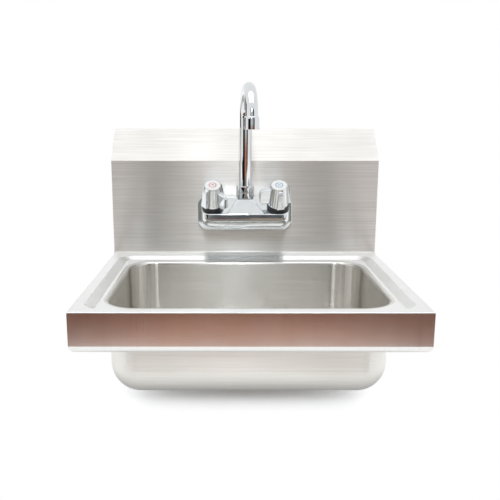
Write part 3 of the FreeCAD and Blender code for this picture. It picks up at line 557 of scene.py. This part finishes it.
nut = turned("spout_nut_turned", [
    (12.9, -53.7), (13.3, -53.7), (13.7, -53.4), (13.9, -52.9), (13.9, -44.9), (13.7, -44.5),
    (13.2, -44.2), (13.2, -43.7), (13.7, -43.4), (13.9, -43.0), (13.9, -35.4), (13.7, -34.7),
    (13.1, -34.2), (10.2, -34.2), (9.5, -34.5), (9.3, -35.0), (9.3, -44.6), (12.9, -44.6), (12.9, -53.7),
])
dressed(placed(nut, spout_place()), chrome, "chrome_plate", "sink", "spout_nut")

outlet = turned("outlet_fitting", [
    (8.4, 54.9), (10.2, 54.9), (10.7, 55.1), (11.0, 55.7), (11.0, 69.6), (10.9, 70.6), (10.5, 71.9),
    (10.0, 73.0), (9.75, 73.3), (9.65, 73.0), (9.65, 57.9), (8.4, 57.9), (8.4, 54.9),
])
placed(outlet, spout_place(2 * SPOUT_BEND_RADIUS))
dressed(outlet, chrome, "chrome_plate", "spout", "aerator_housing")


# Handles with their collars, index plates and screws

def fin(name, levels, root):
    """An upright fin along X through (height, reach, width) levels, its edges softened."""
    foot, reach, width = levels[0]
    top, crest = levels[1][0], levels[-1][0]
    inner = root[0]
    piece = block(name, (inner, -width / 2, foot), (reach, width / 2, top))
    pick(piece, "FACE", lying_at(2, top))
    for next_top, next_reach, next_width in levels[1:]:
        if next_top > top:
            extruded(0, 0, next_top - top)
        next_inner = root[0] + (root[1] - root[0]) * (next_top - foot) / (crest - foot)
        stretch = (next_reach - next_inner) / (reach - inner)
        middle = ((inner + reach) / 2 * MM, 0, next_top * MM)
        bpy.ops.transform.resize(value=(stretch, next_width / width, 1), center_override=middle)
        shift = (next_inner + next_reach - inner - reach) / 2 * MM
        bpy.ops.transform.translate(value=(shift, 0, 0))
        top, inner, reach, width = next_top, next_inner, next_reach, next_width
    return softened(settle(piece), FIN_ANGLE)


def handle():
    """A bell with three ribs and a long wing, hollow below, about its own upright axis."""
    bell = turned("handle", [
        (0, 39.8), (12.4, 39.8), (12.45, 40.6), (12.6, 40.9), (12.8, 40.9), (12.95, 40.6), (13.0, 39.6),
        (13.4, 36.5), (16.2, 10.6), (16.6, 9.4), (16.6, 7.1), (16.4, 6.6), (16.0, 6.4), (14.2, 6.4),
        (14.2, 9.4), (10.6, 32.0), (0, 32.0),
    ])
    fins = [fin("wing", WING_LEVELS, WING_ROOT)]
    for quarter in (1, 2, 3):
        rib = fin("rib", RIB_LEVELS, RIB_ROOT)
        fins.append(placed(rib, Matrix.Rotation(quarter * math.pi / 2, 4, "Z")))
    return joined_solid(bell, fins)


def index_plate():
    """A round plate bored for the screw, its face divided for the printed ring."""
    return turned("index_plate", [
        (2.35, 39.8), (12.2, 39.8), (12.2, 40.9), (12.05, 41.1), (11.8, PLATE_FACE),
        (RING_OUTER, PLATE_FACE), (RING_INNER, PLATE_FACE), (2.6, PLATE_FACE), (2.35, 41.0), (2.35, 39.8),
    ])


def ring_printed(plate, ink):
    """Give the plate its white and put ink on the ring between its two marked radii."""
    choose(plate)
    plate.data.materials.append(white)
    plate.data.materials.append(ink)
    bpy.ops.object.mode_set(mode="EDIT")
    on_face = lying_at(2, PLATE_FACE)

    def on_ring(face):
        middle = face.calc_center_median()
        return on_face(face) and RING_INNER < math.hypot(middle.x, middle.y) / MM < RING_OUTER

    pick(plate, "FACE", on_ring)
    plate.active_material_index = 1
    bpy.ops.object.material_slot_assign()
    bpy.ops.object.mode_set(mode="OBJECT")


def cross_screw():
    """A pan-head screw with a cross recess."""
    screw = turned("handle_screw", [
        (0, 27.8), (1.2, 27.8), (1.5, 28.2), (1.5, 39.8), (2.2, 39.8), (2.2, 40.6), (2.0, 41.0),
        (1.5, 41.2), (0, 41.2),
    ], SMALL_STEPS)
    recess = []
    for width, depth in ((CROSS_LENGTH, CROSS_WIDTH), (CROSS_WIDTH, CROSS_LENGTH)):
        low, high = (-width / 2, -depth / 2, CROSS_FLOOR), (width / 2, depth / 2, CROSS_TOP)
        recess.append(settle(block("recess", low, high)))
    return joined_solid(screw, recess, "DIFFERENCE")


def collar():
    """A ring with a rounded top edge, under the handle's skirt."""
    return turned("collar", [
        (14.0, 0), (17.0, 0), (17.2, 0.3), (17.2, 5.0), (17.0, 5.6), (16.5, 6.0), (14.2, 6.0),
        (14.0, 5.7), (14.0, 0),
    ])


masters = {
    "handle": (handle(), chrome, "chrome_plate"),
    "index": (index_plate(), white, "index_white"),
    "handle_screw": (cross_screw(), chrome, "chrome_plate"),
    "collar": (collar(), black, "black_plastic"),
}
for side, word, ink in ((-1, "hot", red_ink), (1, "cold", blue_ink)):
    for kind, (master, material, slot) in masters.items():
        piece = copied(master, word + "_" + kind + "_shown")
        if kind == "index":
            ring_printed(piece, ink)
        placed(piece, valve_place(side, WING_TURN[word]))
        body = "sink" if kind == "collar" else word + "_handle_set"
        dressed(piece, material, slot, body, word + "_" + kind)
for modelled in masters.values():
    bpy.data.objects.remove(modelled[0])


# Camera, fitted to the photograph

camera = bpy.data.objects.new("camera", bpy.data.cameras.new("camera"))
bpy.context.scene.collection.objects.link(camera)
camera.location = (-0.0254, -1.1215, 0.0781)
camera.rotation_euler = (math.radians(78.19), 0, math.radians(0.13))
camera.data.sensor_width = 36.0
camera.data.lens = 47.56
camera.data.shift_x = 0.0446
camera.data.shift_y = 0.0016
bpy.context.scene.camera = camera


# Stage: a white sweep, the room in front of it and soft lamps

FLOOR_Z = cad_box[0].z
SWEEP_HALF = 4.0
SWEEP_THICK = 0.02
# The floor right under the bowl, where the shadow is full: its middle and half its size.
SHADOW_MIDDLE = (0, -0.21, 0)
SHADOW_HALF = (0.14, 0.045, 1)
# How far out from there the shadow fades away, to the camera and in metal.
FADE_SHOWN = 0.078
FADE_MIRRORED = 0.182
# The paper's tone in the light, in metal (a grey, painted shade around the bowl) and, lifted so that the
# shadow stays pale, to the camera.
PAPER = linear("#F4F4F4")
PAPER_MIRRORED_SHADE = (0.6, 0.6, 0.6, 1)
PAPER_SHOWN = (2.0, 2.01, 2.05, 1)
# How much brighter than white the paper glows in metal.
GLOW_MIRRORED = 0.2

# The room that only metal shows. Its floor starts where the paper ends and darkens with painted shade as
# far as the turn.
PAPER_END = -0.655
FLOOR_TURN = -0.92
RUN_NEAR = -1.2
SEAM_NEAR = -1.5
SEAM_FAR = -1.552
SHADE_FAR = -1.95
RUN_FAR = -2.4
ROOM_END = -3.0
ROOM_LEFT = -4.0
RUN_LEFT = -0.1
MAT_MIDDLE = 0.055
RUN_RIGHT = 0.2
WALL_LEFT = -1.25
WALL_RIGHT = 2.6
WALL_THICK = 0.01
ROOM_TOP = 2.6
LOW_WALL_TOP = 0.5
ROOM_DARK = "#1E1A19"
# The floor's own height, and how thick each layer on it is.
SKIRT = FLOOR_Z + 0.002
LAYER = 0.001
THIN = 0.0005
BLOTCHES_PER_METRE = 7.0

# The far wall's bands: place across in metres and brightness, on a ramp between two places.
RAMP_LEFT = -4.0
RAMP_RIGHT = 4.0
ROOM_BANDS = (
    (-0.95, 0.01), (-0.85, 0.7), (-0.62, 0.7), (-0.5, 0.12), (-0.38, 0.08), (-0.29, 0.45), (-0.2, 1.0),
    (0.05, 1.0), (0.3, 0.65), (0.37, 0.4), (0.45, 0.08), (0.51, 0.08), (0.58, 0.4), (0.66, 0.7),
    (1.15, 0.7), (1.25, 0.01),
)
# Heights between which the floor's painted warm glow leaves the wall, and the bands run out into light.
FLOOR_GLOW_SPAN = {"From Min": -0.14, "From Max": -0.02}
LIGHT_SPAN = {"From Min": 1.8, "From Max": 2.35}


def shown(tree):
    """Rays from the camera, rays that metal or glass throws on, and both together, each as 1 or 0."""
    path = add(tree, "ShaderNodeLightPath")
    mirrored = add(tree, "ShaderNodeMath", {
        0: path.outputs["Is Glossy Ray"], 1: path.outputs["Is Transmission Ray"]}, operation="MAXIMUM")
    seen = add(tree, "ShaderNodeMath", {
        0: path.outputs["Is Camera Ray"], 1: mirrored.outputs[0]}, operation="MAXIMUM")
    return path.outputs["Is Camera Ray"], mirrored.outputs[0], seen.outputs[0]


def white_sweep():
    """Pale paper that keeps the object's shadow and runs to white away from it; in metal a painted shade
    darkens it around the bowl.
    """
    material, tree = opened("white_paper")
    place = add(tree, "ShaderNodeTexCoord").outputs["Object"]
    offset = add(tree, "ShaderNodeVectorMath", {0: place, 1: SHADOW_MIDDLE}, operation="SUBTRACT")
    size = add(tree, "ShaderNodeVectorMath", {0: offset.outputs[0]}, operation="ABSOLUTE")
    beyond = add(tree, "ShaderNodeVectorMath", {0: size.outputs[0], 1: SHADOW_HALF}, operation="SUBTRACT")
    outside = add(tree, "ShaderNodeVectorMath", {0: beyond.outputs[0], 1: (0, 0, 0)}, operation="MAXIMUM")
    away = add(tree, "ShaderNodeVectorMath", {0: outside.outputs[0]}, operation="LENGTH")
    camera_ray, mirrored, seen = shown(tree)
    reach = add(tree, "ShaderNodeMath", {
        0: mirrored, 1: FADE_MIRRORED - FADE_SHOWN, 2: FADE_SHOWN}, operation="MULTIPLY_ADD")
    fade = add(tree, "ShaderNodeMapRange", {
        "Value": away.outputs["Value"], "From Max": reach.outputs[0]}, interpolation_type="SMOOTHSTEP")
    plain = add(tree, "ShaderNodeMath", {0: fade.outputs[0], 1: seen}, operation="MULTIPLY")
    # In metal the paper near the bowl takes a darker grey: painted shade.
    shaded_in_metal = add(tree, "ShaderNodeMix", {
        "Factor": mirrored, 6: PAPER, 7: PAPER_MIRRORED_SHADE}, data_type="RGBA")
    bright = add(tree, "ShaderNodeMix", {
        "Factor": camera_ray, 6: shaded_in_metal.outputs[2], 7: PAPER_SHOWN}, data_type="RGBA")
    paper = add(tree, "ShaderNodeBsdfDiffuse", {"Color": bright.outputs[2]})
    lit = add(tree, "ShaderNodeMath", {0: mirrored, 1: GLOW_MIRRORED, 2: 1.0}, operation="MULTIPLY_ADD")
    glow = add(tree, "ShaderNodeEmission", {"Color": (1, 1, 1, 1), "Strength": lit.outputs[0]})
    return closed(material, add(tree, "ShaderNodeMixShader", {
        0: plain.outputs[0], 1: paper.outputs[0], 2: glow.outputs[0]}))


def reflected_only(name, near, far, start, end):
    """A surface of the room that only polished metal shows, its colour running on from near to far. It
    glows with that colour instead of being lit: a painted reflection.
    """
    material, tree = opened(name)
    place = add(tree, "ShaderNodeTexCoord").outputs["Object"]
    depth = add(tree, "ShaderNodeSeparateXYZ", {"Vector": place})
    run = add(tree, "ShaderNodeMapRange", {
        "Value": depth.outputs["Y"], "From Min": start, "From Max": end})
    colour = add(tree, "ShaderNodeMix", {
        "Factor": run.outputs[0], 6: linear(near), 7: linear(far)}, data_type="RGBA")
    uneven = add(tree, "ShaderNodeTexNoise", {
        "Vector": place, "Scale": BLOTCHES_PER_METRE, "Detail": 1.0})
    level = add(tree, "ShaderNodeMapRange", {
        "Value": uneven.outputs["Fac"], **NOISE_SPAN, "To Min": 0.85, "To Max": 1.15})
    clear = add(tree, "ShaderNodeBsdfTransparent")
    glow = add(tree, "ShaderNodeEmission", {"Color": colour.outputs[2], "Strength": level.outputs[0]})
    return closed(material, add(tree, "ShaderNodeMixShader", {
        0: shown(tree)[1], 1: clear.outputs[0], 2: glow.outputs[0]}))


def room_wall():
    """The far side of the room, glowing in upright bands of light and dark that only metal shows, with a
    painted warm glow from the floor at its foot.
    """
    material, tree = opened("room_wall")
    place = add(tree, "ShaderNodeSeparateXYZ", {
        "Vector": add(tree, "ShaderNodeTexCoord").outputs["Object"]})
    across = add(tree, "ShaderNodeMapRange", {
        "Value": place.outputs["X"], "From Min": RAMP_LEFT, "From Max": RAMP_RIGHT})
    bands = add(tree, "ShaderNodeValToRGB", {"Fac": across.outputs[0]})
    stops = bands.color_ramp.elements
    for where, level in ROOM_BANDS:
        stops.new((where - RAMP_LEFT) / (RAMP_RIGHT - RAMP_LEFT)).color = (level, level, level, 1)
    stops[0].color = stops[-1].color = linear(ROOM_DARK)
    # A painted warm glow from the floor lies at the wall's foot.
    height = add(tree, "ShaderNodeMapRange", {"Value": place.outputs["Z"], **FLOOR_GLOW_SPAN})
    floor_glow = add(tree, "ShaderNodeMix", {
        "Factor": height.outputs[0], 6: linear("#E29A82"), 7: linear("#FBFDFF")}, data_type="RGBA")
    colour = add(tree, "ShaderNodeMix", {
        "Factor": 1.0, 6: bands.outputs["Color"], 7: floor_glow.outputs[2]},
        data_type="RGBA", blend_type="MULTIPLY")
    high = add(tree, "ShaderNodeMapRange", {"Value": place.outputs["Z"], **LIGHT_SPAN})
    lighter = add(tree, "ShaderNodeMix", {
        "Factor": high.outputs[0], 6: colour.outputs[2], 7: linear("#F2F6FA")}, data_type="RGBA")
    clear = add(tree, "ShaderNodeBsdfTransparent")
    glow = add(tree, "ShaderNodeEmission", {"Color": lighter.outputs[2], "Strength": 1.0})
    return closed(material, add(tree, "ShaderNodeMixShader", {
        0: shown(tree)[1], 1: clear.outputs[0], 2: glow.outputs[0]}))


def stage_slab(name, low, high, material):
    """A thin slab between two corners in metres."""
    bpy.ops.object.select_all(action="DESELECT")
    bpy.ops.mesh.primitive_cube_add(size=1, location=[(a + b) / 2 for a, b in zip(low, high)])
    slab = bpy.context.object
    slab.name = name
    slab.scale = [b - a for a, b in zip(low, high)]
    bpy.ops.object.transform_apply(location=True, rotation=True, scale=True)
    slab.data.materials.append(material)


stage_slab("sweep", (-SWEEP_HALF, -SWEEP_HALF, FLOOR_Z - SWEEP_THICK), (SWEEP_HALF, SWEEP_HALF, FLOOR_Z),
           white_sweep())
# The room's floor in layers: name, left, right, near end, far end, foot, top, colours at both ends.
for name, left, right, near, far, foot, top, near_colour, far_colour in (
    # The near and side floors darken towards the turn: painted shade.
    ("near_floor", -0.23, 0.23, PAPER_END, FLOOR_TURN, -LAYER, 0, "#D0A18B", "#7E4B36"),
    ("side_floor", -1.8, 1.8, PAPER_END, FLOOR_TURN, -2 * LAYER, -LAYER, "#8F5F4B", "#5C3526"),
    ("far_floor", -1, 1, FLOOR_TURN, ROOM_END, -LAYER, 0, "#784631", "#938C86"),
    ("grey_floor", -0.6, 1.0, RUN_NEAR, RUN_FAR, 0, THIN, "#83877F", "#8F938C"),
    ("runner", RUN_LEFT, RUN_RIGHT, RUN_NEAR, RUN_FAR, 0, LAYER, "#96604D", "#B98573"),
    ("dark_seam", RUN_LEFT, RUN_RIGHT, SEAM_FAR, SHADE_FAR, LAYER, LAYER + THIN, "#5E6466", "#5E6466"),
    ("red_mat", RUN_LEFT, MAT_MIDDLE, SEAM_NEAR, SEAM_FAR, LAYER, LAYER + THIN, "#6E3A40", "#6E3A40"),
    ("warm_mat", MAT_MIDDLE, RUN_RIGHT, SEAM_NEAR, SEAM_FAR, LAYER, LAYER + THIN, "#DDB8A2", "#DDB8A2"),
    ("grey_seam", RUN_LEFT, RUN_RIGHT, RUN_NEAR, SEAM_NEAR, LAYER, LAYER + THIN, "#9C9990", "#9C9990"),
    ("dark_floor", ROOM_LEFT, -0.6, RUN_NEAR, ROOM_END, 0, LAYER, ROOM_DARK, ROOM_DARK),
):
    # Past the runner's far end no colour changes.
    stage_slab(name, (left, far, SKIRT + foot), (right, near, SKIRT + top),
               reflected_only(name, near_colour, far_colour, near, max(far, RUN_FAR)))
WALL_BACK = ROOM_END - WALL_THICK
stage_slab("room_wall", (WALL_LEFT, WALL_BACK, FLOOR_Z), (WALL_RIGHT, ROOM_END, ROOM_TOP), room_wall())
stage_slab("low_wall", (ROOM_LEFT, WALL_BACK, FLOOR_Z), (WALL_LEFT, ROOM_END, LOW_WALL_TOP),
           reflected_only("low_wall", ROOM_DARK, ROOM_DARK, 0, 1))
# A dark hanging far back on the left gives the upright chrome its brown left edge.
stage_slab("curtain", (-2.6, 0.5, FLOOR_Z), (-2.59, 3.6, 1.0),
           reflected_only("curtain", "#4A2C26", "#4A2C26", 0, 1))

world = bpy.data.worlds.new("studio")
bpy.context.scene.world = world
world.use_nodes = True
world.node_tree.nodes.clear()
sky = world.node_tree
room = add(sky, "ShaderNodeBackground", {"Color": linear("#FDFEFF"), "Strength": 0.8})
paper_white = add(sky, "ShaderNodeBackground", {"Color": (1, 1, 1, 1), "Strength": 1.0})
add(sky, "ShaderNodeOutputWorld", {"Surface": add(sky, "ShaderNodeMixShader", {
    0: shown(sky)[2], 1: room.outputs[0], 2: paper_white.outputs[0]}).outputs[0]})


def lamp(name, place, aim, width, height, power, colour):
    """A rectangular soft box."""
    light = bpy.data.lights.new(name, "AREA")
    light.shape = "RECTANGLE"
    light.size = width
    light.size_y = height
    light.energy = power
    light.color = linear(colour)[:3]
    box = bpy.data.objects.new(name, light)
    bpy.context.scene.collection.objects.link(box)
    box.location = place
    box.rotation_euler = (Vector(aim) - Vector(place)).to_track_quat("-Z", "Y").to_euler()
    box.visible_camera = False


# Two boxes overhead, with a gap between them that keeps the middle of the splash's slope from clipping
BOX_Y = -0.6
BOX_Z = 1.5
for name, across in (("left_soft_box", -0.51), ("right_soft_box", 0.49)):
    lamp(name, (across, BOX_Y, BOX_Z), (across, BOX_Y, 0),
         width=0.9, height=1.2, power=4, colour="#F7F9FF")
lamp("front_strip", (0.015, -2.9, 1.6), (0, -0.1, 0),
     width=0.17, height=0.66, power=7, colour="#F0F8FF")

bpy.context.scene.view_settings.view_transform = "Standard"


bpy.context.view_layer.update()
